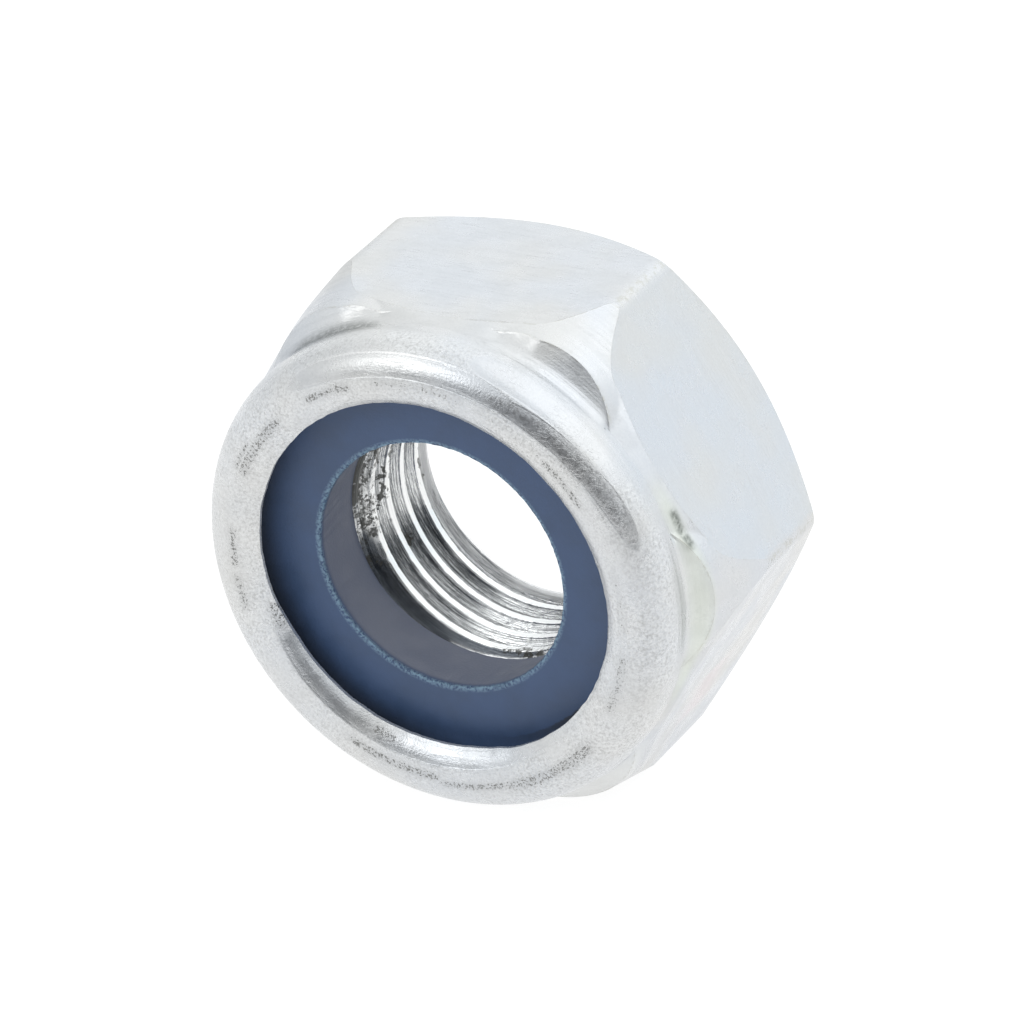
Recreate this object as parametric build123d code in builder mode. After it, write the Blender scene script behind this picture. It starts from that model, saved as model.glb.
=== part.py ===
"""Nylon insert lock nut, M10 x 1 thread, 17 mm across flats.

The nut lies on one flat of its hexagon. Its axis is level and runs along Y:
the nylon end faces -Y and the bearing face faces +Y. The origin is on the
surface that the nut lies on, under the middle of the nut. Millimetres, +Z up.
"""

import math
import os

from build123d import *

# ---------------------------------------------------------------- driving sizes
# "on the radius" sizes are differences between two radii. Stations are
# distances along the nut's axis, from the bearing face to the nylon end.
across_flats = 17.0
nut_height = 9.7

# hexagon
edge_radius = 0.6              # rounding of the six long edges
bearing_inset = 0.13           # bearing face inside the flats, on the radius
bearing_chamfer_angle = 43.0   # slope of the chamfer from the bearing face

# corners drawn in towards the shoulder of the collar
corner_draw_in = 0.55          # at the shoulder, on the radius
corner_draw_height = 2.8       # from the start of the draw to the shoulder
corner_lobe_radius = 3.45      # rounding of a corner at the shoulder
runout_margin = 0.45          # start of the flats' 45 degree runout, beyond the flats
shoulder_inset = 0.07           # end of that runout at the shoulder, inside the flats

# tapped hole
thread_diameter = 10.0
thread_crest_diameter = 9.15   # clear hole inside the internal thread
countersink_margin = 0.475     # countersink beyond the thread, on the radius
thread_entry_chamfer = 0.24    # edge break at the insert's seat

# rolled collar
collar_height = 2.4            # from the shoulder to the top of the roll
collar_inset = 0.06            # outer wall inside the flats, on the radius
collar_wall = 1.44
neck_height = 0.52             # from the shoulder to the fine neck
neck_width = 0.16
neck_depth = 0.06
roll_radius = 1.32             # from the outer wall to the top of the roll
lip_rounding = 0.97            # from the top of the roll into the mouth
lip_curl_angle = 64.0          # turn of that rounding, down to the lip's edge
lip_edge_thickness = 0.15

# nylon insert
insert_height = 2.6            # from the seat to the open face
insert_bore_diameter = 8.8
insert_grip = 0.2              # height of the insert's chamfer caught under the lip
insert_edge_rounding = 0.12
insert_play = 0.02             # insert inside the pocket's wall, on the radius

# ---------------------------------------------------------------- derived sizes
SIDES = 6
QUARTER_TURN = 90
flat_reach = across_flats / 2
sharp_reach = flat_reach / math.cos(math.pi / SIDES)
corner_reach = sharp_reach - edge_radius * (sharp_reach / flat_reach - 1)
bearing_radius = flat_reach - bearing_inset

thread_radius = thread_diameter / 2
crest_radius = thread_crest_diameter / 2
countersink_radius = thread_radius + countersink_margin

collar_radius = flat_reach - collar_inset
neck_radius = collar_radius - neck_depth
foot_radius = flat_reach - shoulder_inset
pocket_radius = collar_radius - collar_wall

# the roll turns in from the outer wall, over the top and down to the lip's edge
lip_curl = math.radians(lip_curl_angle)
lip_reach = collar_radius - roll_radius - lip_rounding * math.sin(lip_curl)
lip_station = nut_height - lip_rounding * (1 - math.cos(lip_curl))

# under the lip the inner wall slopes at 45 degrees, out to the pocket
lip_root_station = lip_station - lip_edge_thickness
pocket_top_station = lip_root_station - (pocket_radius - lip_reach)
face_station = pocket_top_station + insert_grip
seat_station = face_station - insert_height

shoulder_station = nut_height - collar_height
neck_station = shoulder_station + neck_height

lobe_centre_radius = corner_reach - corner_draw_in - corner_lobe_radius
lobe_taper = corner_draw_in / corner_draw_height
lobe_growth = lobe_taper * shoulder_station
lobe_reach = lobe_centre_radius + corner_lobe_radius

insert_radius = pocket_radius - insert_play
insert_bore_radius = insert_bore_diameter / 2

# planes and axis: local Z of the bearing plane runs along the stations, and
# the section plane holds half profiles, drawn as (radius, station)
centre = (0, nut_height / 2, flat_reach)
bearing_plane = Plane(origin=centre, x_dir=(1, 0, 0), z_dir=(0, -1, 0))
section_plane = Plane(origin=centre, x_dir=(1, 0, 0), z_dir=(0, 0, -1))
nut_axis = Axis(centre, (0, -1, 0))
ON_BASE = (Align.CENTER, Align.CENTER, Align.MIN)

os.makedirs("parts", exist_ok=True)

# ---------------------------------------------------------------- form under the shoulder
# A round core whose top edge runs the flats out at 45 degrees, and a tapering
# lobe at each corner. The hexagon keeps only what lies inside this form.
with BuildPart(bearing_plane) as drawn_form:
    Cylinder(flat_reach + runout_margin, shoulder_station, align=ON_BASE)
    runout_edge = drawn_form.edges().sort_by(nut_axis)[-1]
    chamfer(runout_edge, length=runout_margin + shoulder_inset)
    with PolarLocations(lobe_centre_radius, SIDES):
        Cone(
            bottom_radius=corner_lobe_radius + lobe_growth,
            top_radius=corner_lobe_radius - lobe_taper * neck_height,
            height=neck_station,
            align=ON_BASE,
        )
    # above the shoulder the lobes slope in to the neck of the collar
    with BuildSketch(section_plane) as apron:
        with BuildLine():
            Polyline(
                (0, 0),
                (sharp_reach, 0),
                (sharp_reach, shoulder_station),
                (lobe_reach, shoulder_station),
                (neck_radius, neck_station),
                (0, neck_station),
                close=True,
            )
        make_face()
    revolve(axis=nut_axis, mode=Mode.INTERSECT)

# ---------------------------------------------------------------- steel body
with BuildPart() as nut_body:
    # hexagon up to the neck of the collar, its corners drawn in
    with BuildSketch(bearing_plane) as hexagon:
        RegularPolygon(radius=flat_reach, side_count=SIDES, major_radius=False)
        fillet(hexagon.vertices(), radius=edge_radius)
    extrude(amount=neck_station)
    add(drawn_form.part, mode=Mode.INTERSECT)

    # chamfer round the bearing face
    chamfer_run = sharp_reach - bearing_radius
    chamfer_rise = chamfer_run * math.tan(math.radians(bearing_chamfer_angle))
    with BuildSketch(section_plane) as bearing_chamfer:
        with BuildLine():
            Polyline(
                (bearing_radius, 0),
                (sharp_reach, 0),
                (sharp_reach, chamfer_rise),
                close=True,
            )
        make_face()
    revolve(axis=nut_axis, mode=Mode.SUBTRACT)

    # collar: a fine neck, an upright wall, and a roll that turns in to the lip
    with BuildSketch(section_plane) as collar:
        with BuildLine():
            wall = Polyline(
                (pocket_radius, shoulder_station),
                (foot_radius, shoulder_station),
                (neck_radius, neck_station),
                (neck_radius, neck_station + neck_width),
                (collar_radius, neck_station + neck_width),
                (collar_radius, nut_height - roll_radius),
            )
            roll = JernArc(start=wall @ 1, tangent=(0, 1), radius=roll_radius, arc_size=QUARTER_TURN)
            mouth = JernArc(start=roll @ 1, tangent=(-1, 0), radius=lip_rounding, arc_size=lip_curl_angle)
            Polyline(
                mouth @ 1,
                (lip_reach, lip_root_station),
                (pocket_radius, pocket_top_station),
                (pocket_radius, shoulder_station),
            )
        make_face()
    revolve(axis=nut_axis)

    # pocket for the insert, tapped hole and its countersink
    with BuildSketch(section_plane) as hole:
        with BuildLine():
            Polyline(
                (0, 0),
                (countersink_radius, 0),
                (crest_radius, countersink_radius - crest_radius),
                (crest_radius, seat_station - thread_entry_chamfer),
                (crest_radius + thread_entry_chamfer, seat_station),
                (pocket_radius, seat_station),
                (pocket_radius, neck_station),
                (0, neck_station),
                close=True,
            )
        make_face()
    revolve(axis=nut_axis, mode=Mode.SUBTRACT)

nut_body.part.label = "nut_body"
export_step(nut_body.part, "parts/nut_body.step")

# ---------------------------------------------------------------- nylon insert
with BuildPart() as locking_insert:
    # ring on the seat, its outer corner chamfered to fit under the lip
    with BuildSketch(section_plane) as ring:
        with BuildLine():
            Polyline(
                (insert_bore_radius, seat_station),
                (insert_radius, seat_station),
                (insert_radius, pocket_top_station + insert_play),
                (pocket_radius - insert_grip, face_station),
                (insert_bore_radius, face_station),
                close=True,
            )
        make_face()
        bore_corners = ring.vertices().group_by(Axis.X)[0]
        fillet(bore_corners, radius=insert_edge_rounding)
    revolve(axis=nut_axis)

locking_insert.part.label = "locking_insert"
export_step(locking_insert.part, "parts/locking_insert.step")
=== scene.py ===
"""Looks of a nylon insert lock nut: zinc-plated steel body and blue nylon ring.

Everything is in metres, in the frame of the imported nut. Its axis is level and
runs along Y. A station is a distance along that axis, from the bearing face
(+Y) to the nylon end (-Y). Angles run from +X towards +Z, so that a right-hand
thread climbs by one pitch a turn. The shaders measure in millimetres.
"""

import math
from functools import partialmethod

import bpy
import numpy as np
from mathutils import Matrix, Vector


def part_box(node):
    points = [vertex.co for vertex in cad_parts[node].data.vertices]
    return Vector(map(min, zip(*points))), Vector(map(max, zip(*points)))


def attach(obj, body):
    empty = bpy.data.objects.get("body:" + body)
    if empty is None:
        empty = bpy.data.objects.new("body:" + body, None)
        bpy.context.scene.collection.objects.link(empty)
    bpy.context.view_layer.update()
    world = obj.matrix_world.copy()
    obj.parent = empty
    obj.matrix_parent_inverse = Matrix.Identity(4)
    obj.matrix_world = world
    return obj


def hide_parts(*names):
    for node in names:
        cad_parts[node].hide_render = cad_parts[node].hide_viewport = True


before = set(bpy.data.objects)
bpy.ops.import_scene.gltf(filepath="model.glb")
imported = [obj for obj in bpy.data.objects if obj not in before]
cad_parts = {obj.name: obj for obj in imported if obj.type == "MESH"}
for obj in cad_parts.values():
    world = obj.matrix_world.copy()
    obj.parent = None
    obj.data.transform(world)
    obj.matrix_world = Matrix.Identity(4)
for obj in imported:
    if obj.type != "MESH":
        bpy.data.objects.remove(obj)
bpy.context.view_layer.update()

scene = bpy.context.scene
MM = 0.001

# ---- sizes from the frame
body_low, body_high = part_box("nut_body")
ring_low, ring_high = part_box("locking_insert")
flat_reach = (body_high.z - body_low.z) / 2
nut_height = body_high.y - body_low.y
bearing_y = body_high.y
axis_z = (body_high.z + body_low.z) / 2
face_station = bearing_y - ring_low.y
seat_station = bearing_y - ring_high.y
ring_radius = ring_high.x

# ---- sizes of the forms
SIDES = 6
HALF_SIDE = math.pi / SIDES
edge_radius = 0.6 * MM
bearing_inset = 0.13 * MM
bearing_slope = math.tan(math.radians(43))

corner_draw_in = 0.55 * MM
corner_draw_height = 2.8 * MM
corner_lobe_radius = 3.45 * MM
runout_margin = 0.45 * MM
shoulder_inset = 0.07 * MM

collar_height = 2.4 * MM
collar_inset = 0.06 * MM
collar_wall = 1.44 * MM
neck_height = 0.52 * MM
neck_width = 0.16 * MM
neck_depth = 0.06 * MM
roll_radius = 1.32 * MM
lip_rounding = 0.97 * MM
lip_curl = math.radians(64)
lip_edge_thickness = 0.15 * MM
curled_lip_drop = 0.42 * MM
curled_lip_turn = 3.1  # how late the curled lip turns down
open_lip_drop = 0.25 * MM  # where the lip is not curled down fully
open_lip_edge = 0.12 * MM

crest_radius = 4.575 * MM
root_radius = 5.0 * MM
mouth_radius = 5.475 * MM
mouth_slope = 0.78  # radius lost by the mouth's cone per unit of station
first_full_thread = 2.0 * MM
shallowest_thread = 0.1  # of the depth, where the thread starts
entry_chamfer = 0.24 * MM
pitch = 1.0 * MM
crest_phase = 0.395  # pitches from the bearing face to a crest, at angle 0
crest_share = 0.25  # of the pitch, flat on the crest
root_share = 0.125
crest_tearing = 0.035 * MM
same_point = 1e-5 * MM  # points this close are one
sliver_length = 1e-4 * MM  # shorter edges are closed up

bore_radius = 4.4 * MM
seat_bore_radius = 4.58 * MM
seat_bore_wear = 0.23 * MM
bore_rounding = 0.12 * MM
fray_share = 0.3  # of the bore's rounding, from its wall to its worn line
face_worn_share = 1.8  # of the bore's rounding, to where the flat face starts

arris_width = 0.1 * MM
neck_fillet = 0.36 * MM  # at the corners only
crease_fade = 0.6 * MM
lobe_onset = 3.0  # how soon the corners stand out from the neck

# how worn an edge is, from 0 to 1
bearing_edge_wear = 0.6
chamfer_edge_wear = 0.8
flat_top_wear = 0.4
worn_top_extra = 0.5
corner_wear_peak = 1.3  # held at 1 in the middle of a corner
corner_wear_fade = math.radians(1)

# stretches round the axis: middle, reach and fade in degrees
WORN_FLAT_TOP = (80, 18, 8)
SOFT_CREASE = (90, 15, 9)
CURLED_LIP = (248, 36, 20)
WORN_SEAT_BORE = (185, 20, 60)

# waves of the lip and of the ring's bore: size in millimetres, count and angle of a crest
LIP_WAVES = ((0.06, 0, 0), (0.137, 1, 63), (0.031, 2, 18), (0.037, 3, -34))
BORE_WAVES = ((-0.015, 0, 0), (0.141, 1, 157), (0.021, 2, 5), (0.021, 3, -121))
# where the lip reaches further in: size in millimetres, middle, reach and fade in degrees
LIP_BULGES = ((0.03, 105, 15, 40), (0.11, 236, 30, 34))
# ragged edges: size in millimetres, seed and count of the chance values
LIP_RAGS = ((0.012, 4, 150), (0.012, 5, 60))
BORE_RAGS = ((0.01, 6, 200),)

# sizes that follow
corner_reach = flat_reach / math.cos(HALF_SIDE) - edge_radius * (1 / math.cos(HALF_SIDE) - 1)
bearing_radius = flat_reach - bearing_inset
collar_radius = flat_reach - collar_inset
neck_radius = collar_radius - neck_depth
foot_radius = flat_reach - shoulder_inset
pocket_radius = collar_radius - collar_wall
crest_ring_radius = collar_radius - roll_radius
lip_reach = crest_ring_radius - lip_rounding * math.sin(lip_curl)
lip_station = nut_height - lip_rounding * (1 - math.cos(lip_curl))
lip_root_station = lip_station - lip_edge_thickness
pocket_top_station = lip_root_station - (pocket_radius - lip_reach)
shoulder_station = nut_height - collar_height
neck_station = shoulder_station + neck_height
lobe_centre = corner_reach - corner_draw_in - corner_lobe_radius
lobe_taper = corner_draw_in / corner_draw_height
lobe_reach = lobe_centre + corner_lobe_radius
apron_slope = (lobe_reach - neck_radius) / neck_height
fray_inset = bore_rounding * fray_share

# how finely the forms are divided
COLUMNS = 600
RUNOUT_SHARES = (0.04, 0.1, 0.22, 0.36, 0.52, 0.68, 0.84, 1)
APRON_ROUNDS = 8
NECK_STEPS = 8
ROLL_STEPS = 16
LIP_STEPS = 14
FACE_STEPS = 12
FLANK_STEPS = 4
HELIX_OVERRUN = 2  # turns past the bearing face, which close the seam
NO_HELIX = 10**6  # past every ring
NEVER_ZERO = 1e-9

angles = np.arange(COLUMNS) * 2 * math.pi / COLUMNS


# ---- lathe of rings
def level(value):
    """The same value at every angle, or the values already given."""
    return np.full(COLUMNS, 1.0) * value


class Rings:
    """Rings of points round the axis, each with a radius, a station and its wear at every angle."""

    def __init__(self, radius, station):
        self.radii = [level(radius)]
        self.stations = [level(station)]
        self.arris = [level(0)]
        self.helix_start = NO_HELIX
        self.helix_rings = 0

    def columns(self):
        return self.radii, self.stations, self.arris

    def to(self, radius, station, steps=1, arris=0):
        """Straight on to a new ring."""
        last = [values[-1] for values in self.columns()]
        for k in range(1, steps + 1):
            for values, start, end in zip(self.columns(), last, (radius, station, arris)):
                values.append(start + (end - start) * k / steps)

    def helix(self, radius, top, phases):
        """Rings that climb by one pitch a turn, from a top station down to the bearing face."""
        self.helix_start = len(self.radii)
        for turn in range(math.ceil(top / pitch), -HELIX_OVERRUN - 1, -1):
            for phase in reversed(phases):
                climb = turn + crest_phase + phase + angles / (2 * math.pi)
                self.to(radius, np.clip(climb * pitch, 0, top))
        self.helix_rings = len(phases)

    def closed(self):
        """Leaves out the last ring, which is the first one again."""
        for values in self.columns():
            values.pop()
        return self

    def mesh(self, name):
        """Joins each ring to the next, and the last to the first."""
        radii, stations = np.array(self.radii), np.array(self.stations)
        rings = len(radii)
        x, z = radii * np.cos(angles), axis_z + radii * np.sin(angles)
        points = np.stack([x, bearing_y - stations, z], axis=-1)
        ring, column = np.meshgrid(np.arange(rings), np.arange(COLUMNS), indexing="ij")
        next_ring, next_column = (ring + 1) % rings, (column + 1) % COLUMNS
        ring_across, next_ring_across = ring.copy(), next_ring.copy()
        # past the last column, each helix ring goes on as the one a pitch above it
        for across in (ring_across, next_ring_across):
            seam = (next_column == 0) & (across > self.helix_start)
            across[seam] = np.maximum(across[seam] - self.helix_rings, self.helix_start)
        near = ring * COLUMNS + column, ring_across * COLUMNS + next_column
        far = next_ring_across * COLUMNS + next_column, next_ring * COLUMNS + column
        faces = np.stack(near + far, axis=-1)
        in_bore = np.zeros((rings, COLUMNS))
        in_bore[self.helix_start :] = 1
        mesh = bpy.data.meshes.new(name)
        mesh.from_pydata(points.reshape(-1, 3).tolist(), [], faces.reshape(-1, 4).tolist())
        for label, values in (("arris", np.array(self.arris)), ("bore", in_bore)):
            attribute = mesh.attributes.new(label, "FLOAT", "POINT")
            attribute.data.foreach_set("value", values.reshape(-1).astype(np.float32))
        return mesh


# ---- forms of the steel body
corner_offset = np.abs((angles + HALF_SIDE) % (2 * HALF_SIDE) - HALF_SIDE)


def smooth_step(share):
    """Eases a share from 0 to 1 in and out."""
    return share * share * (3 - 2 * share)


def hexagon():
    """Reach of the hexagon with rounded edges."""
    flats = flat_reach / np.cos(HALF_SIDE - corner_offset)
    centre = (flat_reach - edge_radius) / math.cos(HALF_SIDE)
    across = centre * np.sin(corner_offset)
    rounded = centre * np.cos(corner_offset) + np.sqrt(np.maximum(edge_radius**2 - across**2, 0))
    tangent = math.atan2(edge_radius * math.sin(HALF_SIDE), centre + edge_radius * math.cos(HALF_SIDE))
    return np.where(corner_offset < tangent, rounded, flats)


def lobes(station):
    """Reach of the tapering corner lobes at a station."""
    radius = corner_lobe_radius + lobe_taper * (shoulder_station - station)
    across = lobe_centre * np.sin(corner_offset)
    return lobe_centre * np.cos(corner_offset) + np.sqrt(np.maximum(radius**2 - across**2, 0))


def flat_top(reach):
    """Station at which the hexagon meets the drawn-in form."""
    x = reach * np.cos(corner_offset) - lobe_centre
    y = reach * np.sin(corner_offset)
    lobe_meets = shoulder_station - (np.hypot(x, y) - corner_lobe_radius) / lobe_taper
    core_meets = shoulder_station - (reach - foot_radius)
    core_meets = np.where(reach < flat_reach + runout_margin, core_meets, 0)
    return np.minimum(np.maximum(lobe_meets, core_meets), shoulder_station)


def drawn_form(station, reach, top):
    """Reach above the flats: straight in to the neck, or a lobe that stands further out."""
    straight = neck_radius + (reach - neck_radius) * (neck_station - station) / (neck_station - top)
    return np.minimum(np.maximum(straight, lobes(station)), reach)


def apron_edge(reach, top):
    """Station at which the slope in from the lobes to the neck starts."""
    station = level(shoulder_station)
    for _ in range(APRON_ROUNDS):
        station = shoulder_station + (lobe_reach - drawn_form(station, reach, top)) / apron_slope
    return np.clip(station, shoulder_station, neck_station)


def around(middle, reach, fade):
    """One within a reach in degrees of an angle, fading to nothing beyond it."""
    away = np.abs((np.degrees(angles) - middle + 180) % 360 - 180)
    return smooth_step(np.clip((reach + fade - away) / fade, 0, 1))


def ragged(seed, count):
    """Smooth chance values round the axis, from -1 to 1."""
    chance = np.random.default_rng(seed).uniform(-1, 1, count)
    place = np.arange(COLUMNS) * count / COLUMNS
    low = place.astype(int)
    share = smooth_step(place - low)
    return chance[low % count] * (1 - share) + chance[(low + 1) % count] * share


def strayed(waves, bulges, rags):
    """How far an edge strays from its circle."""
    stray = sum(size * MM * np.cos(count * angles - math.radians(crest)) for size, count, crest in waves)
    for size, *stretch in bulges:
        stray = stray - size * MM * around(*stretch)
    for size, seed, count in rags:
        stray = stray + size * MM * ragged(seed, count)
    return stray


def thread_phases():
    """Places of the rings across one pitch: on the crest, the flanks and the root."""
    crest, root = crest_share / 2, root_share / 2
    flank = [crest + (0.5 - root - crest) * k / FLANK_STEPS for k in range(FLANK_STEPS + 1)]
    half = [0.0] + flank + [0.5]
    return half + [1 - phase for phase in reversed(half[1:-1])]


def hexagon_rings(rings):
    """Bearing face, chamfer, flats and corners. Gives back how much each angle is a corner."""
    reach = hexagon()
    corner_wear = np.clip(corner_wear_peak - corner_offset / corner_wear_fade, 0, 1)
    rings.to(bearing_radius - arris_width, 0, 2)
    rings.to(bearing_radius, 0, arris=bearing_edge_wear)
    rings.to(bearing_radius + arris_width, arris_width * bearing_slope)
    chamfer_top = (reach - bearing_radius) * bearing_slope
    rings.to(reach - arris_width / 2, np.maximum(chamfer_top - arris_width / 2, arris_width), 2)
    rings.to(reach, chamfer_top, arris=chamfer_edge_wear)
    rings.to(reach, chamfer_top + arris_width, arris=corner_wear)
    top = flat_top(reach)
    rings.to(reach, top - arris_width, 3, arris=corner_wear)
    rings.to(reach, top, arris=flat_top_wear + worn_top_extra * around(*WORN_FLAT_TOP))
    for share in RUNOUT_SHARES:
        station = top + (shoulder_station - top) * share
        rings.to(drawn_form(station, reach, top), station)
    edge = np.maximum(apron_edge(reach, top) - crease_fade * around(*SOFT_CREASE), shoulder_station)
    on_lobe = np.clip((lobes(edge) - neck_radius) / edge_radius * lobe_onset, 0, 1)
    for share in (0.5, 1):
        station = shoulder_station + (edge - shoulder_station) * share
        rings.to(drawn_form(station, reach, top), station, arris=on_lobe * (share == 1))
    rings.to(rings.radii[-1] - arris_width * on_lobe / 2, edge + arris_width * on_lobe / apron_slope / 2)
    return on_lobe


def neck_rings(rings, on_lobe):
    """From the shoulder to the collar: a fine groove over the flats, filled up at the corners."""
    start = np.stack([rings.radii[-1], rings.stations[-1]])
    groove = np.stack([level(neck_radius), level(neck_station)])
    away = start - groove
    slope_end = groove + away * np.minimum(neck_fillet / np.maximum(np.hypot(*away), NEVER_ZERO), 1)
    wall_end = np.stack([level(collar_radius), level(neck_station + neck_fillet)])
    foot = wall_end - [[0], [neck_fillet + neck_depth / apron_slope]]
    groove_top = groove + [[neck_depth], [neck_width + neck_depth / 2]]
    open_line = (start, groove, groove + [[0], [neck_width]], groove_top, wall_end)
    for k in range(NECK_STEPS + 1):
        share = k / NECK_STEPS
        filled = slope_end * (1 - share) ** 2 + 2 * foot * share * (1 - share) + wall_end * share**2
        place = share * (len(open_line) - 1)
        low = min(int(place), len(open_line) - 2)
        open_point = open_line[low] + (open_line[low + 1] - open_line[low]) * (place - low)
        rings.to(*(open_point + (filled - open_point) * on_lobe))
    rings.to(collar_radius, nut_height - roll_radius)


def lip_rings(rings):
    """The roll, the lip that curls down late on one side, and the pocket for the ring."""
    for k in range(1, ROLL_STEPS + 1):
        turn = math.radians(90 * k / ROLL_STEPS)
        rolled_in, rolled_up = roll_radius * math.cos(turn), roll_radius * math.sin(turn)
        rings.to(crest_ring_radius + rolled_in, nut_height - roll_radius + rolled_up)
    curled = around(*CURLED_LIP)
    stray = strayed(LIP_WAVES, LIP_BULGES, LIP_RAGS)
    drop = open_lip_drop + (curled_lip_drop - open_lip_drop) * curled
    for k in range(1, LIP_STEPS + 1):
        share = k / LIP_STEPS
        down = share**2 + (share**curled_lip_turn - share**2) * curled
        radius = crest_ring_radius - (crest_ring_radius - lip_reach) * share
        rings.to(radius + stray * share**2, nut_height - drop * down)
    rings.to(lip_reach + stray, nut_height - drop - open_lip_edge, 2)
    rings.to(pocket_radius, pocket_top_station, 3)
    rings.to(pocket_radius, seat_station)


def steel_rings():
    """The steel body: round the outside, over the roll and back through the hole."""
    rings = Rings(mouth_radius, 0)
    on_lobe = hexagon_rings(rings)
    neck_rings(rings, on_lobe)
    lip_rings(rings)
    rings.helix(crest_radius, seat_station, thread_phases())
    return rings


bore_reach = bore_radius + strayed(BORE_WAVES, (), BORE_RAGS)


def nylon_rings():
    """The nylon ring. Its bore widens a little towards the seat."""
    seat_bore = seat_bore_radius + seat_bore_wear * around(*WORN_SEAT_BORE)
    rings = Rings(seat_bore, seat_station)
    rings.to(ring_radius, seat_station, 3)
    shoulder = pocket_top_station + pocket_radius - ring_radius
    rings.to(ring_radius, shoulder, 2)
    rings.to(ring_radius - (face_station - shoulder), face_station, 2)
    rings.to(bore_reach + bore_rounding * face_worn_share, face_station, FACE_STEPS)
    rings.to(bore_reach + bore_rounding, face_station, arris=0.7)
    rings.to(bore_reach + fray_inset, face_station - fray_inset, 2, arris=1)
    rings.to(bore_reach, face_station - bore_rounding)
    rings.to(seat_bore, seat_station, FACE_STEPS)
    return rings.closed()


# ---- writing node trees
class Graph:
    """Adds nodes to a tree. Their values are numbers, colours or other nodes' sockets."""

    def __init__(self, tree, result=None):
        self.tree = tree
        self.result = result

    def feed(self, socket, value):
        if isinstance(value, bpy.types.NodeSocket):
            self.tree.links.new(value, socket)
        else:
            socket.default_value = value

    def give(self, label, value):
        """Feeds a socket at the end of the tree."""
        self.feed(self.result[label], value)

    def add(self, kind, values=None, **settings):
        """A new node, its inputs given by name or number."""
        node = self.tree.nodes.new(kind)
        for name, setting in settings.items():
            setattr(node, name, setting)
        for key, value in (values or {}).items():
            self.feed(node.inputs[key], value)
        return node

    def first(self, kind, values=None, **settings):
        """First output of a new node."""
        return self.add(kind, values, **settings).outputs[0]

    def math(self, operation, *values):
        """One number out of one or more, taken in turn."""
        total, *rest = values
        if not rest:
            return self.first("ShaderNodeMath", {0: total}, operation=operation)
        for value in rest:
            total = self.first("ShaderNodeMath", {0: total, 1: value}, operation=operation)
        return total

    times = partialmethod(math, "MULTIPLY")
    plus = partialmethod(math, "ADD")
    minus = partialmethod(math, "SUBTRACT")
    over = partialmethod(math, "DIVIDE")
    larger = partialmethod(math, "MAXIMUM")

    def vector(self, operation, *values):
        node = self.add("ShaderNodeVectorMath", dict(enumerate(values)), operation=operation)
        return node.outputs["Value" if operation in ("LENGTH", "DOT_PRODUCT") else "Vector"]

    def scaled(self, vector, factor):
        return self.first("ShaderNodeVectorMath", {0: vector, "Scale": factor}, operation="SCALE")

    def combine(self, *values):
        return self.first("ShaderNodeCombineXYZ", dict(enumerate(values)))

    def rise(self, value, low, high, bottom=0.0, top=1.0):
        """Soft step from bottom to top as the value goes from low to high."""
        values = {"Value": value, "From Min": low, "From Max": high, "To Min": bottom, "To Max": top}
        return self.first("ShaderNodeMapRange", values, interpolation_type="SMOOTHSTEP")

    def fall(self, value, low, high):
        """Soft step down from one to nothing."""
        return self.rise(value, low, high, 1.0, 0.0)

    def between(self, mask, bottom, top):
        """Soft step as a mask goes from 0 to 1."""
        return self.rise(mask, 0.0, 1.0, bottom, top)

    def band(self, value, centre, width):
        """One on a line, falling softly to nothing at a width from it."""
        return self.fall(self.math("ABSOLUTE", self.minus(value, centre)), 0.0, width)

    def degrees_from(self, angle, middle):
        """Turn from a middle to an angle, from -180 to 180 degrees."""
        turned = self.plus(self.minus(angle, middle), 540.0)
        return self.minus(self.math("MODULO", turned, 360.0), 180.0)

    def noise(self, vector, scale, detail=2.0, roughness=0.5, distortion=0.0, w=None):
        values = {"Vector": vector, "Scale": scale, "Detail": detail, "Roughness": roughness}
        values |= {"Distortion": distortion} if w is None else {"Distortion": distortion, "W": w}
        return self.first("ShaderNodeTexNoise", values, noise_dimensions="3D" if w is None else "4D")

    def mix(self, share, first, second):
        return self.add("ShaderNodeMix", {0: share, 6: first, 7: second}, data_type="RGBA").outputs[2]

    def place(self, group, *values):
        """Outputs of a shader group's node, its inputs given in order."""
        return self.add("ShaderNodeGroup", dict(enumerate(values)), node_tree=group).outputs


class Group(Graph):
    """A node group, its sockets made from names and types."""

    def __init__(self, name, inputs, outputs, kind="ShaderNodeTree"):
        super().__init__(bpy.data.node_groups.new(name, kind))
        for in_out, sockets in (("INPUT", inputs), ("OUTPUT", outputs)):
            for label, kind_of_value in sockets:
                socket_type = "NodeSocket" + kind_of_value
                self.tree.interface.new_socket(label, in_out=in_out, socket_type=socket_type)
        self.given = self.add("NodeGroupInput").outputs
        self.inputs = [self.given[label] for label, *_ in inputs]
        self.result = self.add("NodeGroupOutput").inputs


def floats(*labels):
    """Sockets for numbers, in the order of their names."""
    return [(label, "Float") for label in labels]


SHAPE = [("Geometry", "Geometry")]


# ---- thread
THREAD = {
    "Pitch": pitch, "Crest radius": crest_radius, "Root radius": root_radius,
    "Crest phase": crest_phase, "Crest share": crest_share, "Root share": root_share,
    "Mouth radius": mouth_radius, "Mouth slope": mouth_slope,
    "Full thread from": first_full_thread, "Shallowest": shallowest_thread,
    "Seat radius": crest_radius + entry_chamfer, "Seat station": seat_station,
    "Tearing": crest_tearing, "Seed": 7.0, "Bearing face": bearing_y, "Axis height": axis_z,
}


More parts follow.
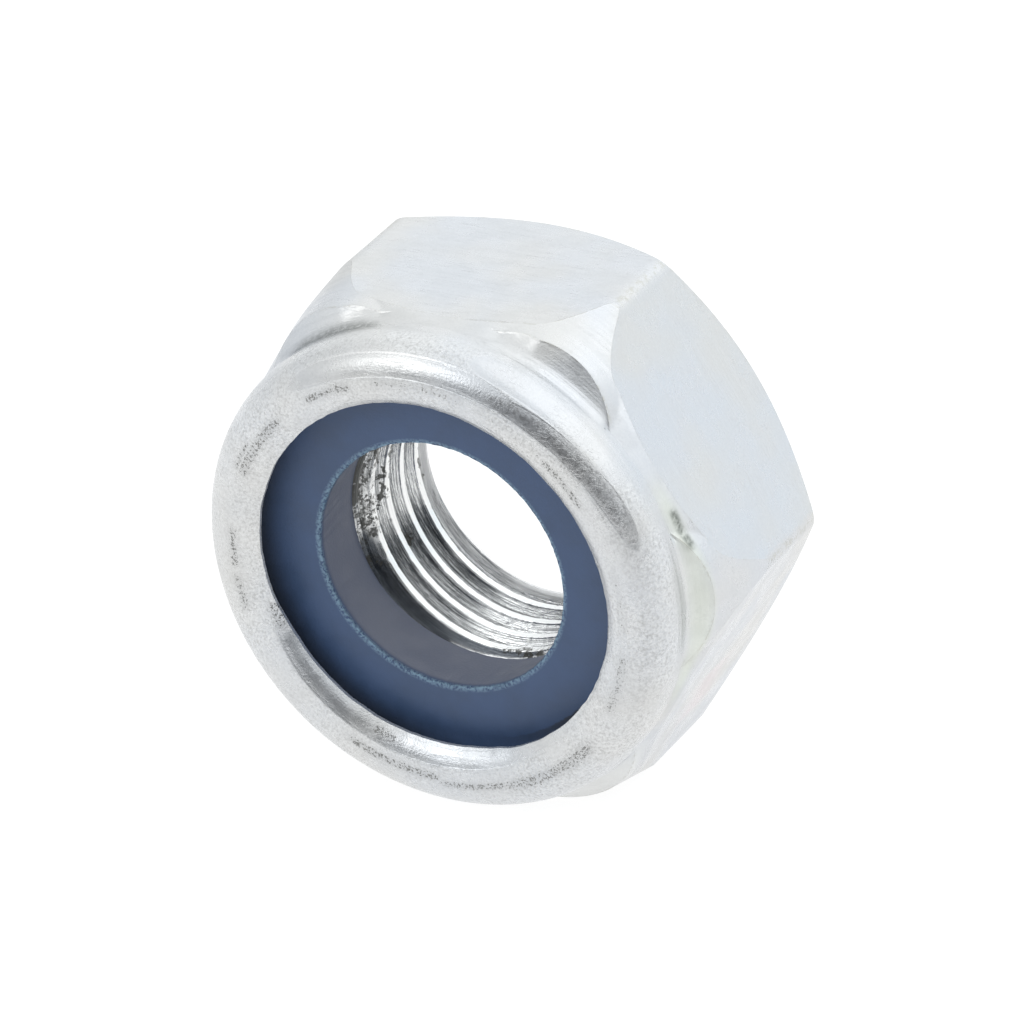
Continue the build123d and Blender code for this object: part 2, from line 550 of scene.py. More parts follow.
def thread_tree():
    """Cuts a right-hand thread into the rings of the bore."""
    finishes = [("Plate", "Material"), ("Cut steel", "Material")]
    g = Group("right_hand_thread", SHAPE + floats(*THREAD) + finishes, SHAPE, "GeometryNodeTree")
    given = g.given
    across, y, z = g.add("ShaderNodeSeparateXYZ", {0: g.first("GeometryNodeInputPosition")}).outputs
    lift = g.minus(z, given["Axis height"])
    radius = g.math("SQRT", g.plus(g.times(across, across), g.times(lift, lift)))
    turn = g.over(g.math("ARCTAN2", lift, across), 2 * math.pi)
    station = g.minus(given["Bearing face"], y)

    # distance from the nearest crest, from 0 to half a pitch
    climb = g.minus(g.over(station, given["Pitch"]), turn)
    away = g.math("PINGPONG", g.minus(climb, given["Crest phase"]), 0.5)
    crest_end = g.times(given["Crest share"], 0.5)
    root_start = g.minus(0.5, g.times(given["Root share"], 0.5))
    flank = g.first("ShaderNodeMapRange", {"Value": away, "From Min": crest_end, "From Max": root_start})
    full_from = given["Full thread from"]
    begun = g.rise(station, g.times(full_from, 0.5), full_from, given["Shallowest"])
    depth = g.times(g.minus(given["Root radius"], given["Crest radius"]), begun)
    cut = g.plus(given["Crest radius"], g.times(depth, flank))

    # the tap tears the crests a little
    on_circle = g.combine(g.over(across, radius), g.over(lift, radius), given["Seed"])
    rough = g.noise(on_circle, 14.0, 4.0, 0.65, w=g.over(station, given["Pitch"]))
    torn = g.times(g.rise(rough, 0.5, 0.72), g.fall(away, 0.1, 0.3))
    cut = g.plus(cut, g.times(torn, given["Tearing"]))

    # countersink at the mouth, chamfer at the seat
    mouth = g.minus(given["Mouth radius"], g.times(station, given["Mouth slope"]))
    seat = g.minus(given["Seat radius"], g.minus(given["Seat station"], station))
    grow = g.over(g.larger(cut, g.larger(mouth, seat)), radius)
    moved = g.combine(g.times(across, grow), y, g.plus(g.times(lift, grow), given["Axis height"]))

    bore = g.add("GeometryNodeInputNamedAttribute", {"Name": "bore"}).outputs["Attribute"]
    in_bore = g.first("FunctionNodeCompare", {0: bore, 1: 0.5}, operation="GREATER_THAN")
    shape = given["Geometry"]
    for kind, values in (
        ("GeometryNodeMergeByDistance", {"Distance": same_point}),
        ("GeometryNodeSetPosition", {"Selection": in_bore, "Position": moved}),
        ("GeometryNodeMergeByDistance", {"Distance": sliver_length}),
        ("GeometryNodeRealizeInstances", {}),
        ("GeometryNodeSetMaterial", {"Material": given["Plate"]}),
        ("GeometryNodeSetMaterial", {"Selection": in_bore, "Material": given["Cut steel"]}),
    ):
        shape = g.first(kind, {0: shape, **values})
    g.give("Geometry", shape)
    return g.tree


# ---- shavings along the bore
clean_side = Vector((0.77, 0, 0.64))
clean_from = 1.2 * MM
SHAVINGS = {
    "Spacing": 0.05 * MM, "Flake length": 0.045 * MM, "Scatter": 0.03 * MM,
    "Clean from": clean_side.z * axis_z + clean_from,
}


def shavings_tree():
    """Small curled flakes of nylon along the edge of the ring's bore."""
    others = [("Clean side", "Vector"), ("Seed", "Int"), ("Nylon", "Material")]
    g = Group("bore_shavings", SHAPE + floats(*SHAVINGS) + others, SHAPE, "GeometryNodeTree")
    given = g.given

    def chance(low, high, offset, kind="FLOAT"):
        """A chance value of its own for each flake."""
        first, output = (0, 0) if kind == "FLOAT_VECTOR" else (2, 1)
        values = {first: low, first + 1: high, "Seed": g.plus(given["Seed"], offset)}
        return g.add("FunctionNodeRandomValue", values, data_type=kind).outputs[output]

    edge = g.first("GeometryNodeMeshToCurve", {"Mesh": given["Geometry"]})
    points = g.first("GeometryNodeCurveToPoints", {"Curve": edge, "Length": given["Spacing"]}, mode="LENGTH")
    scatter = g.scaled(chance((-1, -1, -1), (1, 1, 1), 1, "FLOAT_VECTOR"), given["Scatter"])
    strewn = g.first("GeometryNodeSetPosition", {"Geometry": points, "Offset": scatter})
    flake = g.first("GeometryNodeMeshIcoSphere", {"Radius": given["Flake length"], "Subdivisions": 1})
    flat = g.first("GeometryNodeTransform", {"Geometry": flake, "Scale": (1.0, 0.5, 0.22)})
    spin = chance((0, 0, 0), (2 * math.pi,) * 3, 2, "FLOAT_VECTOR")
    size = g.math("POWER", chance(0.35, 1.0, 3), 2.0)
    side = g.vector("DOT_PRODUCT", g.first("GeometryNodeInputPosition"), given["Clean side"])
    rough_side = g.first("FunctionNodeCompare", {0: side, 1: given["Clean from"]}, operation="LESS_THAN")
    flakes = g.first(
        "GeometryNodeInstanceOnPoints",
        {"Points": strewn, "Selection": rough_side, "Instance": flat, "Rotation": spin, "Scale": size},
    )
    solid = g.first("GeometryNodeRealizeInstances", {0: flakes})
    g.give("Geometry", g.first("GeometryNodeSetMaterial", {0: solid, "Material": given["Nylon"]}))
    return g.tree


# ---- shared shader effects
def coordinates_group():
    """Where a point lies on the nut: its radius, station and angle in millimetres and degrees."""
    vectors = [(label, "Vector") for label in ("Around", "Millimetres", "Along thread")]
    outputs = floats("Radius", "Station", "Angle", "Phase") + vectors
    g = Group("nut_coordinates", [("Object", "Vector")], outputs)
    centred = g.vector("SUBTRACT", g.given["Object"], (0, bearing_y, axis_z))
    scaled = g.scaled(centred, 1 / MM)
    x, y, z = g.add("ShaderNodeSeparateXYZ", {0: scaled}).outputs
    radius = g.vector("LENGTH", g.combine(x, 0.0, z))
    station = g.times(y, -1.0)
    turn = g.math("ARCTAN2", z, x)
    climb = g.minus(g.times(station, 2 * math.pi * MM / pitch), turn)
    g.give("Radius", radius)
    g.give("Station", station)
    g.give("Angle", g.math("MODULO", g.plus(g.math("DEGREES", turn), 360.0), 360.0))
    g.give("Phase", g.math("FRACT", g.minus(g.over(climb, 2 * math.pi), crest_phase)))
    g.give("Around", g.combine(g.over(x, radius), g.over(z, radius), 0.0))
    g.give("Millimetres", scaled)
    g.give("Along thread", g.combine(g.math("COSINE", climb), g.math("SINE", climb), g.times(station, 4.0)))
    return g.tree


def grain_group():
    """Fine speckle of a tumbled or moulded skin, with larger soft blotches."""
    inputs = [("Vector", "Vector"), *floats("Size", "Blotch size")]
    g = Group("skin_grain", inputs, floats("Height", "Speckle", "Blotch"))
    vector, size, blotch_size = g.inputs
    fine = g.noise(vector, g.over(1.0, size), 3.0, 0.6)
    blotch = g.noise(vector, g.over(1.0, blotch_size), 3.0, 0.55)
    g.give("Height", fine)
    g.give("Speckle", g.rise(fine, 0.3, 0.72))
    g.give("Blotch", g.rise(blotch, 0.3, 0.7))
    return g.tree


def grime_group():
    """Dark crumbs gathered where a zone lets them."""
    inputs = [("Vector", "Vector"), *floats("Size", "Zone", "Sparse")]
    g = Group("grime_crumbs", inputs, floats("Mask"))
    vector, size, zone, sparse = g.inputs
    crumbs = g.noise(vector, g.over(1.0, size), 4.0, 0.7)
    threshold = g.minus(sparse, g.times(zone, 0.34))
    g.give("Mask", g.rise(g.minus(crumbs, threshold), 0.0, 0.06))
    return g.tree


def arc_group():
    """Soft-ended arc on a circle round the axis."""
    inputs = floats("Value", "Place", "Width", "Angle", "Middle", "Half span")
    g = Group("arc_zone", inputs, floats("Mask"))
    value, place, width, angle, middle, half_span = g.inputs
    away = g.math("ABSOLUTE", g.degrees_from(angle, middle))
    g.give("Mask", g.times(g.band(value, place, width), g.fall(away, g.times(half_span, 0.6), half_span)))
    return g.tree


def burnished_group():
    """Sharply bounded patch, rounded at both ends, along a circle round the axis."""
    inputs = floats("Radius", "Angle", "Middle", "Half span", "Place", "Lean", "Half width")
    g = Group("burnished_patch", inputs, floats("Mask"))
    radius, angle, middle, half_span, place, lean, half_width = g.inputs
    along = g.degrees_from(angle, middle)
    centre = g.plus(place, g.times(along, lean))
    across = g.over(g.minus(radius, centre), half_width)
    along = g.math("POWER", g.math("ABSOLUTE", g.over(along, half_span)), 4.0)
    g.give("Mask", g.fall(g.plus(g.times(across, across), along), 0.72, 1.15))
    return g.tree


def scratch_group():
    """Thin lines drawn out along one direction."""
    inputs = [("Vector", "Vector"), ("Stretch", "Vector"), ("Amount", "Float")]
    g = Group("drawn_lines", inputs, floats("Mask"))
    vector, stretch, amount = g.inputs
    drawn = g.vector("MULTIPLY", vector, stretch)
    ridge = g.math("ABSOLUTE", g.minus(g.noise(drawn, 1.0, 2.0, 0.6, 0.2), 0.5))
    patches = g.rise(g.noise(vector, 0.8, 1.0), 0.35, 0.65)
    g.give("Mask", g.times(g.fall(ridge, 0.0, 0.03), patches, amount))
    return g.tree


coordinates = coordinates_group()
skin_grain = grain_group()
grime_crumbs = grime_group()
arc_zone = arc_group()
drawn_lines = scratch_group()
burnished_patch = burnished_group()


class Finish(Graph):
    """A material in the making, and where each of its points lies on the nut."""

    def __init__(self, name, colour, metallic, roughness):
        self.material = bpy.data.materials.new(name)
        self.material.use_nodes = True
        self.material.diffuse_color = (*colour, 1)
        super().__init__(self.material.node_tree)
        self.result = self.tree.nodes["Principled BSDF"].inputs
        self.give("Base Color", (*colour, 1))
        self.give("Metallic", metallic)
        self.give("Roughness", roughness)
        self.where = self.place(coordinates, self.add("ShaderNodeTexCoord").outputs["Object"])
        self.radius, self.station, self.angle = (self.where[k] for k in ("Radius", "Station", "Angle"))
        self.mm = self.where["Millimetres"]

    def mottle(self, scale, low, high, bottom=0.0, top=1.0, detail=3.0, roughness=0.6):
        """Soft patches, from bottom to top as a noise goes from low to high."""
        return self.rise(self.noise(self.mm, scale, detail, roughness), low, high, bottom, top)

    def grain(self, size, blotch_size):
        return self.place(skin_grain, self.mm, size, blotch_size)

    def crumbs(self, size, zone, sparse, shift=None):
        vector = self.vector("ADD", self.mm, shift) if shift else self.mm
        return self.place(grime_crumbs, vector, size, zone, sparse)["Mask"]

    def arc(self, value, place, width, middle, half_span, angle=None):
        """Soft-ended arc, where a radius or a station is near its place."""
        angle = self.angle if angle is None else angle
        return self.place(arc_zone, value, place, width, angle, middle, half_span)["Mask"]

    def sector(self, middle, half_span):
        """Soft-ended span of angles, at any radius and station."""
        return self.arc(0.0, 0.0, 1.0, middle, half_span)

    def strongest(self, arcs, value, angle=None, least=0.0):
        """Largest of the arcs in a table, each times its strength."""
        for *arc, strength in arcs:
            least = self.larger(least, self.times(self.arc(value, *arc, angle), strength))
        return least

    def patch(self, *form):
        """Burnished patch: middle and half span, place, lean and half width."""
        return self.place(burnished_patch, self.radius, self.angle, *form)["Mask"]

    def worn(self):
        """How worn the nearest edge is."""
        return self.add("ShaderNodeAttribute", attribute_name="arris").outputs["Fac"]

    def layered(self, colour, *layers):
        """A colour under layers of others, each with a mask and the mask's strength."""
        for mask, strength, laid in layers:
            share = mask if strength == 1 else self.times(mask, strength)
            colour = self.mix(share, colour, (*laid, 1))
        return colour

    def relief(self, height, depth):
        """Bump of a height from 0 to 1, with its depth in millimetres."""
        values = {"Height": self.times(height, depth * MM), "Strength": 1.0, "Distance": 1.0}
        self.give("Normal", self.first("ShaderNodeBump", values))


# ---- zinc plate
# dark pits in the roll: radius, width, middle, half span and strength
PIT_ARCS = (
    (7.06, 0.25, 41, 10, 1.3),
    (7.13, 0.29, 60, 14, 0.6),
    (7.18, 0.41, 88, 18, 0.7),
    (7.13, 0.35, 115, 10, 1),
    (7.09, 0.38, 145, 15, 1.1),
    (7.38, 0.2, 151, 6, 1),
    (7.11, 0.38, 179, 8, 0.85),
    (7.12, 0.43, 192, 7, 0.85),
    (6.25, 0.29, 201, 5, 1.25),
    (6.33, 0.32, 250, 5, 1),
    (7.10, 0.35, 255, 18, 1.1),
    (7.28, 0.32, 279, 13, 1),
    (7.32, 0.49, 304, 20, 1.05),
    (7.15, 0.51, 341, 13, 0.8),
    (7.10, 0.29, 5, 12, 0.6),
)
DENSEST_PITS = 0.86
# where the roller burnished the collar: middle, half span, radius, its growth per degree, half width
# and the strength of the painted dark reflection in it
BURNISHED = (
    (44, 26, 7.84, -0.0068, 0.29, 0.75),
    (93, 34, 7.74, 0, 0.36, 0.1),
    (54, 23, 8.32, -0.002, 0.26, 0),
    (256, 59, 6.05, 0, 0.64, 0),
)
# painted highlight along the roll: middle, half span, radius, its growth per degree and half width
PAINTED_HIGHLIGHT = (54, 21, 8.31, 0.001, 0.12)
# painted shade in and near the neck groove: station, width, middle, half span and strength
NECK_SHADE = (
    (7.95, 0.4, 115, 15, 0.5),
    (8.2, 0.12, 4, 16, 0.15),
    (7.45, 0.25, 16.5, 5.5, 0.8),
)
# single arcs: radius or station, width, middle and half span
# painted dark reflection on the roll
DARK_REFLECTION_ARC = (7.85, 0.6, 4, 34)
PALE_SHOULDER = (7.5, 0.55, 296, 26)
GREEN_SHOULDER = (7.55, 0.5, 0, 32)
PINK_FLAT = (3.8, 1.9, 320, 9)
SCRATCH_STRETCH = (0.35, 5, 5)  # finer across than along
# stations over which the plate changes
COLLAR_START = (8, 8.8)
ROLL_START = (9.1, 9.3)
SHOULDER_START = (7.15, 7.35)
SHOULDER_END = (7.8, 7.84)


def zinc_plate():
    """Satin plate: burnished bands with painted dark reflections and a painted highlight, pits and specks,
    painted shade by the neck and worn edges.
    """
    g = Finish("zinc_plate", (0.64, 0.657, 0.657), 1.0, 0.3)
    grain = g.grain(0.075, 0.9)
    arris = g.worn()
    on_collar = g.rise(g.station, *COLLAR_START)
    matte = g.times(on_collar, g.mottle(0.55, 0.35, 0.65, 0.45, 1.0, detail=2.0, roughness=0.5))

    # the darkness of the burnished patches and of the arc on the roll is painted dark reflection
    burnished, dark_reflection = 0.0, 0.0
    for *patch, dark in BURNISHED:
        mask = g.patch(*patch)
        burnished = g.larger(burnished, mask)
        dark_reflection = g.larger(dark_reflection, g.times(mask, dark))
    burnished = g.times(burnished, on_collar)
    dark_reflection = g.larger(g.times(dark_reflection, on_collar), g.times(g.arc(g.radius, *DARK_REFLECTION_ARC), 0.35))
    matte = g.times(matte, g.between(burnished, 1.0, 0.35))

    zone = g.math("MINIMUM", g.strongest(PIT_ARCS, g.radius), DENSEST_PITS)
    zone = g.times(zone, g.rise(g.station, *ROLL_START))
    pits = g.larger(g.times(g.crumbs(0.075, zone, 0.82), 0.85), g.times(zone, 0.13))
    specks = g.crumbs(0.13, 0.25, 0.8, shift=(4.37, 7.71, 2.63))
    pits = g.larger(pits, g.times(specks, 0.4))

    # faint hues of the passivation, under blotches, speckle, a painted highlight, painted dark reflections,
    # stains, painted shade by the neck, and pits and grime
    hue = g.mottle(0.25, 0.35, 0.65, detail=2.0, roughness=0.5)
    light = g.times(grain["Speckle"], g.between(matte, 0.12, 0.75))
    # painted highlight on the roll
    painted_highlight = g.times(g.patch(*PAINTED_HIGHLIGHT), on_collar)
    # painted dark reflection, mottled darker
    mottled_dark_reflection = g.times(dark_reflection, g.mottle(7.0, 0.48, 0.64))
    dark_grain = g.times(g.mottle(10.0, 0.45, 0.68), matte)
    pale = g.arc(g.station, *PALE_SHOULDER)
    stain = g.times(arris, g.mottle(4.2, 0.45, 0.6, detail=4.0, roughness=0.75))
    # painted shade in and near the neck groove
    neck_shade = g.times(g.strongest(NECK_SHADE, g.station), g.mottle(6.0, 0.3, 0.6, 0.3, 1.0))
    g.give("Base Color", g.layered(
        g.mix(hue, (0.655, 0.655, 0.645, 1), (0.632, 0.655, 0.685, 1)),
        (grain["Blotch"], 0.1, (0.5, 0.51, 0.51)),
        (light, 1, (0.84, 0.85, 0.85)),
        # painted highlight
        (painted_highlight, 0.4, (0.74, 0.75, 0.765)),
        # painted dark reflection
        (dark_reflection, 0.42, (0.44, 0.445, 0.455)),
        (mottled_dark_reflection, 0.6, (0.2, 0.2, 0.2)),
        (dark_grain, 0.5, (0.36, 0.36, 0.35)),
        (g.arc(g.station, *GREEN_SHOULDER), 0.5, (0.72, 0.76, 0.66)),
        (pale, 0.6, (0.84, 0.85, 0.84)),
        (g.arc(g.station, *PINK_FLAT), 0.4, (0.74, 0.62, 0.64)),
        (stain, 0.42, (0.45, 0.44, 0.36)),
        # painted shade by the neck
        (neck_shade, 1, (0.1, 0.115, 0.1)),
        (pits, 0.85, (0.07, 0.065, 0.05)),
    ))
    plated = g.minus(1.0, g.times(on_collar, g.between(burnished, 0.5, 0.33)), g.times(pale, 0.5))
    g.give("Metallic", g.times(plated, g.minus(1.0, g.times(pits, 0.7))))

    # the drawn shoulders at the corners are duller
    shoulder = g.times(g.rise(g.station, *SHOULDER_START), g.fall(g.station, *SHOULDER_END))
    roughness = g.plus(g.between(grain["Blotch"], 0.24, 0.36), g.times(shoulder, 0.14))
    roughness = g.minus(roughness, g.times(burnished, 0.08))
    g.give("Roughness", g.plus(roughness, g.times(pits, 0.3)))

    # skin, rolling marks round the collar, scratches, dents along the edges and pits
    climb = g.combine(0.0, 0.0, g.times(g.station, 2.2))
    round_axis = g.vector("ADD", g.where["Around"], climb)
    rolled = g.noise(round_axis, 1.6, 3.0, 0.55, w=g.times(g.radius, 2.2))
    scratches = g.place(drawn_lines, g.mm, SCRATCH_STRETCH, 0.6)["Mask"]
    height = g.times(grain["Height"], g.between(matte, 0.35, 0.7))
    height = g.plus(height, g.times(rolled, g.between(burnished, 2.0, 0.8)))
    height = g.minus(height, g.times(scratches, 0.25))
    height = g.plus(height, g.times(arris, g.noise(g.mm, 4.0, 3.0, 0.6), 0.75))
    g.relief(g.minus(height, g.times(pits, 1.2)), 0.02)
    return g.material


# ---- cut steel of the thread
# grime in the thread: station, half height, middle, half span and strength
THREAD_GRIME = (
    (5.85, 0.8, 155, 10, 1.5),
    (4.7, 0.5, 158, 9, 1.4),
    (5.7, 1.1, 167, 13, 1.2),
    (3.6, 0.5, 165, 8, 1.4),
    (5.4, 1.3, 180, 24, 0.75),
    (4.15, 0.25, 173, 6, 1.1),
    (4, 0.25, 184, 6, 1.1),
    (4.5, 0.45, 187, 3, 1.2),
    (1.6, 0.2, 187, 5, 1),
    (5.7, 0.7, 204, 4, 1.1),
    (3.55, 0.45, 207, 4.5, 1.3),
    (5.2, 0.25, 278, 8, 0.9),
    (5.4, 0.3, 287, 8, 1),
)
THIN_GRIME = 0.08
# painted shade and dark reflection under the seat: station, half height, middle and half span
SEAT_SHADE = (5.55, 0.62, 220, 34)
SEAT_SHADE_END = (5.33, 0.17, 262, 34)
DARK_FLANK_SIDE = (223, 32)  # side where the flanks carry painted shade and dark reflection: middle and half span
MOUTH_END = (1.3, 1.6)  # stations over which the pale mouth ends
FLANK_START = (crest_radius / MM + 0.01, crest_radius / MM + 0.06)


def cut_steel():
    """Bright tapped steel: striae along the thread with painted shade on the flanks, painted shade and dark
    reflection on one side and under the seat, dark hairs and brown grime.
    """
    g = Finish("cut_steel", (0.8, 0.815, 0.81), 1.0, 0.14)
    grain = g.grain(0.06, 0.7)
    along, phase = g.where["Along thread"], g.where["Phase"]
    depth = g.times(g.radius, 3.0)
    striae = g.noise(along, 3.2, 4.0, 0.72, w=depth)
    fine = g.noise(along, 7.5, 2.0, 0.6, w=depth)
    on_flank = g.rise(g.radius, *FLANK_START)

    stray = g.minus(g.noise(g.mm, 1.6, 4.0, 0.7), 0.5)
    stray_angle = g.plus(g.angle, g.times(stray, 26.0))
    stray_station = g.plus(g.station, g.times(stray, -1.5))
    zone = g.strongest(THREAD_GRIME, stray_station, stray_angle, THIN_GRIME)
    smudge = g.times(g.rise(zone, 0.3, 1.1), g.mottle(2.2, 0.3, 0.7))
    grime = g.larger(g.times(g.crumbs(0.13, zone, 0.71), 0.85), g.times(smudge, 0.85))

    # painted shade and dark reflection at the foot of each flank on the dark side and under the seat, and
    # fine dark hairs between
    dark_flank_side = g.sector(*DARK_FLANK_SIDE)
    foot = g.times(g.band(phase, 0.19, 0.09), g.rise(fine, 0.35, 0.55))
    seat_end = g.times(g.arc(g.station, *SEAT_SHADE_END), 0.8)
    seat_shade = g.larger(g.arc(g.station, *SEAT_SHADE), seat_end)
    seat_shade = g.times(g.rise(seat_shade, 0.05, 0.5), on_flank)
    hair = g.times(g.band(fine, 0.5, 0.06), g.band(phase, 0.3, 0.26))
    shade_and_hairs = g.larger(g.times(foot, g.times(dark_flank_side, 0.95)), g.times(seat_shade, 0.9))
    shade_and_hairs = g.larger(shade_and_hairs, g.times(hair, g.times(dark_flank_side, 0.9)))

    # striae along the thread, darker on the flanks and the root as painted shade
    lines = g.times(g.rise(striae, 0.56, 0.4), g.plus(g.times(on_flank, 0.8), 0.15))
    mouth = g.fall(g.station, *MOUTH_END)
    g.give("Base Color", g.layered(
        g.mix(lines, (0.85, 0.86, 0.855, 1), (0.3, 0.31, 0.31, 1)),
        (mouth, 0.85, (0.97, 0.97, 0.965)),
        # painted shade and dark reflection, with dark hairs
        (shade_and_hairs, 1, (0.05, 0.06, 0.075)),
        (grime, 0.92, (0.05, 0.048, 0.035)),
    ))
    mirror = g.minus(1.0, g.times(mouth, 0.9), g.times(grime, 0.8))
    g.give("Metallic", g.larger(mirror, 0.0))
    g.give("Roughness", g.plus(g.between(grain["Blotch"], 0.07, 0.15), g.times(grime, 0.4)))
    ridges = g.plus(striae, g.times(fine, 0.3))
    g.relief(g.times(ridges, g.plus(g.times(on_flank, 0.6), 0.4)), 0.018)
    return g.material


# ---- blue nylon
BORE_END = (8.2, 8.4)  # stations over which the ring's bore ends
# painted shade in the corner under the lip
SHADED_CORNER = (6.9, 1.05, 205, 75)  # radius, width, middle and half span
# middle and half span of the painted shadow beside the lip, and of where it is wider
LIP_SHADOW_SIDE = (30, 115)
WIDE_SHADOW_SIDE = (108, 30)
LIP_SHADOW_WIDTH = 0.06
WIDE_SHADOW_EXTRA = 0.1


def blue_nylon():
    """Moulded nylon: painted sheen greyer in the bore, pale where it frays, painted shade in the corner
    under the lip and a painted shadow beside it.
    """
    g = Finish("blue_nylon", (0.045, 0.082, 0.17), 0.0, 0.45)
    grain = g.grain(0.08, 1.3)
    in_bore = g.fall(g.station, *BORE_END)
    fray = g.times(g.worn(), g.mottle(11.0, 0.35, 0.6))

    lip, turn = lip_reach / MM, g.math("RADIANS", g.angle)
    for size, count, crest in LIP_WAVES:
        wave = g.minus(g.times(turn, float(count)), math.radians(crest))
        lip = g.plus(g.times(g.math("COSINE", wave), size), lip)
    lip = g.plus(lip, g.mottle(2.5, 0.3, 0.7, -0.02, 0.05))
    # painted shadow along the seam beside the lip
    lip_shadow_width = g.plus(g.times(g.sector(*WIDE_SHADOW_SIDE), WIDE_SHADOW_EXTRA), LIP_SHADOW_WIDTH)
    seam = g.fall(g.minus(lip, g.radius), 0.0, lip_shadow_width)
    seam = g.times(seam, g.sector(*LIP_SHADOW_SIDE), g.minus(1.0, in_bore))

    g.give("Base Color", g.layered(
        g.mix(grain["Blotch"], (0.04, 0.075, 0.155, 1), (0.05, 0.09, 0.185, 1)),
        # painted sheen, greyer in the bore
        (in_bore, 0.8, (0.115, 0.13, 0.185)),
        (fray, 0.7, (0.27, 0.42, 0.54)),
        (g.crumbs(0.2, 0.25, 0.8), 0.7, (0.02, 0.02, 0.02)),
        # painted shade in the corner under the lip
        (g.arc(g.radius, *SHADED_CORNER), 0.8, (0.012, 0.014, 0.02)),
        # painted shadow beside the lip
        (seam, 0.85, (0.015, 0.015, 0.016)),
    ))
    g.give("Roughness", g.between(grain["Blotch"], 0.4, 0.5))
    g.relief(g.plus(g.times(grain["Height"], 0.4), g.times(fray, 1.0)), 0.02)
    return g.material


def frayed_nylon():
    """Nylon gone pale where it is torn."""
    g = Finish("frayed_nylon", (0.2, 0.33, 0.45), 0.0, 0.5)
    blotch = g.grain(0.1, 0.8)["Blotch"]
    g.give("Base Color", g.mix(blotch, (0.1, 0.19, 0.3, 1), (0.3, 0.46, 0.58, 1)))
    return g.material


# ---- pieces
BODY_SHARP = math.radians(14)  # edges sharper than these stay crisp
RING_SHARP = math.radians(40)
FLAT_FACE = 0.9999  # share of the normal along the axis, on the bearing face


def placed(name, data):
    """A new object of the scene, at the origin."""
    thing = bpy.data.objects.new(name, data)
    scene.collection.objects.link(thing)
    return thing


def turned(name, rings):
    """A smooth piece made of rings round the axis."""
    piece = placed(name, rings.mesh(name))
    piece.data.shade_smooth()
    return piece


def grown(piece, tree, values):
    """Puts the plain mesh that a Geometry Nodes tree makes of a piece in its place."""
    modifier = piece.modifiers.new(tree.name, "NODES")
    modifier.node_group = tree
    for item in tree.interface.items_tree:
        if item.item_type == "SOCKET" and item.in_out == "INPUT" and item.name in values:
            modifier[item.identifier] = values[item.name]
    mesh = bpy.data.meshes.new_from_object(piece.evaluated_get(bpy.context.evaluated_depsgraph_get()))
    piece.modifiers.remove(modifier)
    piece.data = mesh
    mesh.name = piece.name


body = turned("zinc_plated_body", steel_rings())
plate, tapped, nylon, torn_nylon = zinc_plate(), cut_steel(), blue_nylon(), frayed_nylon()
grown(body, thread_tree(), {**THREAD, "Plate": plate, "Cut steel": tapped})
body.data.set_sharp_from_angle(angle=BODY_SHARP)
body.data.polygons.foreach_set("use_smooth", [face.normal.y < FLAT_FACE for face in body.data.polygons])

ring = turned("nylon_ring", nylon_rings())
ring.data.set_sharp_from_angle(angle=RING_SHARP)
ring.data.materials.append(nylon)

# the worn edge of the bore, as one closed line of points
edge_y = bearing_y - face_station + fray_inset
edge_line = zip(bore_reach + fray_inset, angles)
edge_points = [(r * math.cos(a), edge_y, axis_z + r * math.sin(a)) for r, a in edge_line]
edge_mesh = bpy.data.meshes.new("bore_edge")
edge_mesh.from_pydata(edge_points, [(k, (k + 1) % COLUMNS) for k in range(COLUMNS)], [])
shavings = placed("bore_shavings", edge_mesh)
grown(shavings, shavings_tree(), {**SHAVINGS, "Clean side": clean_side, "Seed": 11, "Nylon": torn_nylon})

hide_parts("nut_body")
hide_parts("locking_insert")
for piece, slot in ((body, "zinc_plated_steel"), (ring, "blue_nylon"), (shavings, "blue_nylon")):
    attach(piece, "root")

# ---- camera
camera_bearing = 180 - 30.19
camera_elevation = 27.55
camera_roll = math.radians(-4.85)
camera_distance = 0.2598
camera_clip_start = 0.01
aim_right = 0.496 * MM
aim_up = 0.236 * MM
camera_lens = 281.3



def towards(bearing, rise, squeeze=1.0):
    """Way to a place in the sky, from its bearing (0 is +Y, 90 is +X) and height in degrees."""
    bearing, rise = math.radians(bearing), math.radians(rise)
    flat = math.cos(rise)
    return Vector((math.sin(bearing) * flat, math.cos(bearing) * flat, squeeze * math.sin(rise)))


back = towards(camera_bearing, camera_elevation)
facing = (-back).to_track_quat("-Z", "Y") @ Matrix.Rotation(camera_roll, 3, "Z").to_quaternion()
aim = Vector((0, 0, axis_z)) + facing @ Vector((aim_right, aim_up, 0))
camera = placed("camera", bpy.data.cameras.new("camera"))
camera.data.lens = camera_lens
camera.data.clip_start = camera_clip_start
camera.location = aim + back * camera_distance
camera.rotation_mode = "QUATERNION"
camera.rotation_quaternion = facing
scene.camera = camera

# ---- floor, lit from below like a light table
floor_reach = 0.6
floor_glow = 0.88
floor_corners = [(x * floor_reach, y * floor_reach, 0) for x, y in ((-1, -1), (1, -1), (1, 1), (-1, 1))]
floor_mesh = bpy.data.meshes.new("floor")
floor_mesh.from_pydata(floor_corners, [], [(0, 1, 2, 3)])
floor = placed("floor", floor_mesh)

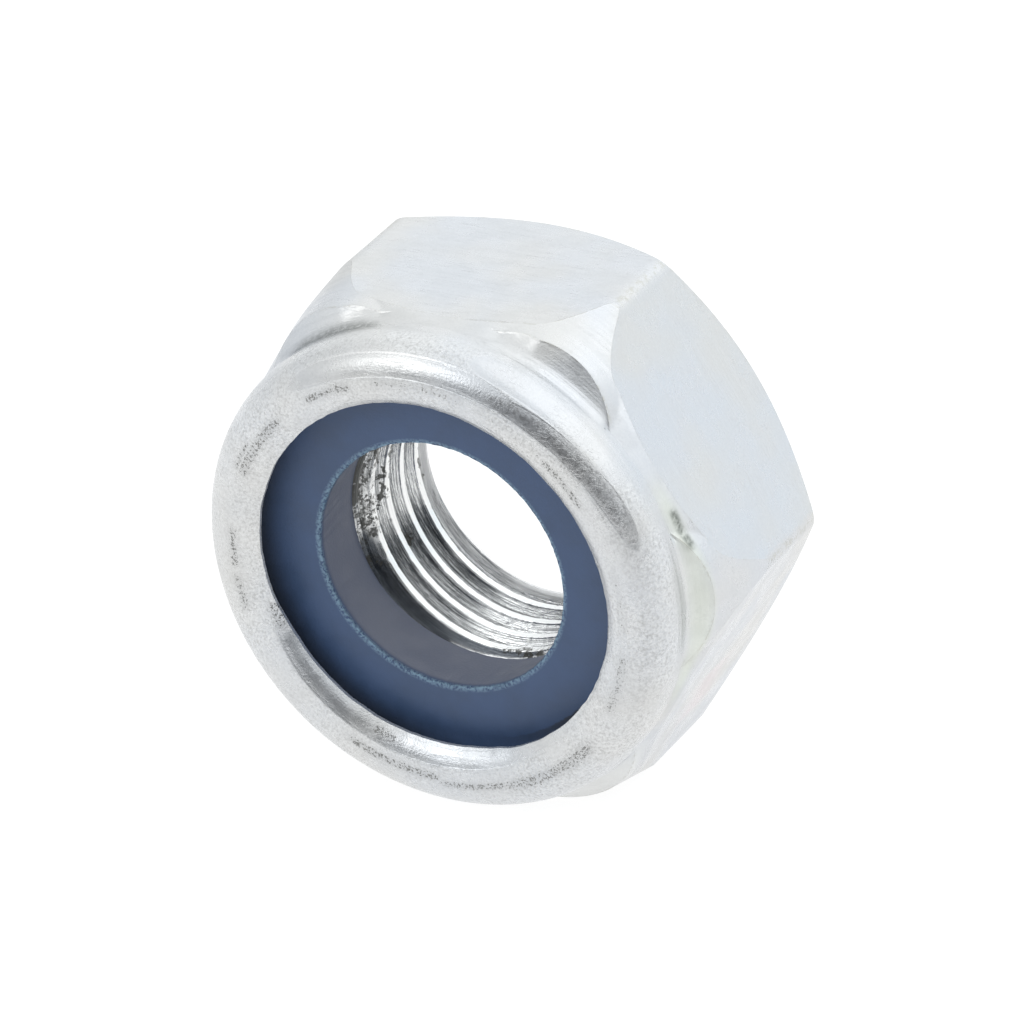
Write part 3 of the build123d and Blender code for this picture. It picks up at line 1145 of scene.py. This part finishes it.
white = bpy.data.materials.new("white_floor")
white.use_nodes = True
for label, value in (
    ("Base Color", (0.2, 0.2, 0.2, 1)),
    ("Roughness", 1.0),
    ("Specular IOR Level", 0.0),
    ("Emission Color", (1, 1, 1, 1)),
    ("Emission Strength", floor_glow),
):
    white.node_tree.nodes["Principled BSDF"].inputs[label].default_value = value
floor_mesh.materials.append(white)

# ---- studio light, as soft patches of the sky
# bearing and height of the middle, inner and outer reach, upright squeeze, colour
PATCHES = {
    "bright_back": (27, 53, 0, 116, 1.0, (1.33, 1.36, 1.38)),
    "low_right": (42, 6, 8, 34, 1.6, (1.05, 1.11, 1.16)),
    "grey_left": (-81, 25, 4, 27, 1.2, (0.57, 0.59, 0.61)),
    "bright_side": (85, 55, 14, 46, 1.0, (1.5, 1.53, 1.55)),
    "dark_front": (158, 0, 44, 68, 3.4, (0.2, 0.215, 0.23)),
    "black_front": (169, 12, 14, 42, 1.4, (0.03, 0.033, 0.04)),
    "window": (-147, 33, 8, 25, 1.0, (2.3, 2.33, 2.35)),
}
SKY = (0.90, 0.92, 0.935)
HORIZON_DIM = 0.85
HORIZON_TOP = 0.55
BACKDROP = (0.96, 0.97, 0.98)

world = bpy.data.worlds.new("studio")
world.use_nodes = True
scene.world = world
sky = Graph(world.node_tree, world.node_tree.nodes["Background"].inputs)
direction = sky.vector("NORMALIZE", sky.add("ShaderNodeTexCoord").outputs["Generated"])
height = sky.add("ShaderNodeSeparateXYZ", {0: direction}).outputs["Z"]
light = sky.mix(sky.rise(height, 0.0, HORIZON_TOP), (*(HORIZON_DIM * v for v in SKY), 1), (*SKY, 1))
for bearing, rise, inner, outer, squeeze, colour in PATCHES.values():
    middle = towards(bearing, rise, squeeze).normalized()
    squeezed = sky.vector("NORMALIZE", sky.vector("MULTIPLY", direction, (1, 1, squeeze)))
    spread = sky.math("ARCCOSINE", sky.vector("DOT_PRODUCT", squeezed, middle))
    share = sky.fall(spread, math.radians(inner), math.radians(outer))
    light = sky.mix(share, light, (*colour, 1))
on_camera = sky.first("ShaderNodeLightPath")
sky.give("Color", sky.mix(on_camera, light, (*BACKDROP, 1)))
scene.view_settings.view_transform = "Standard"
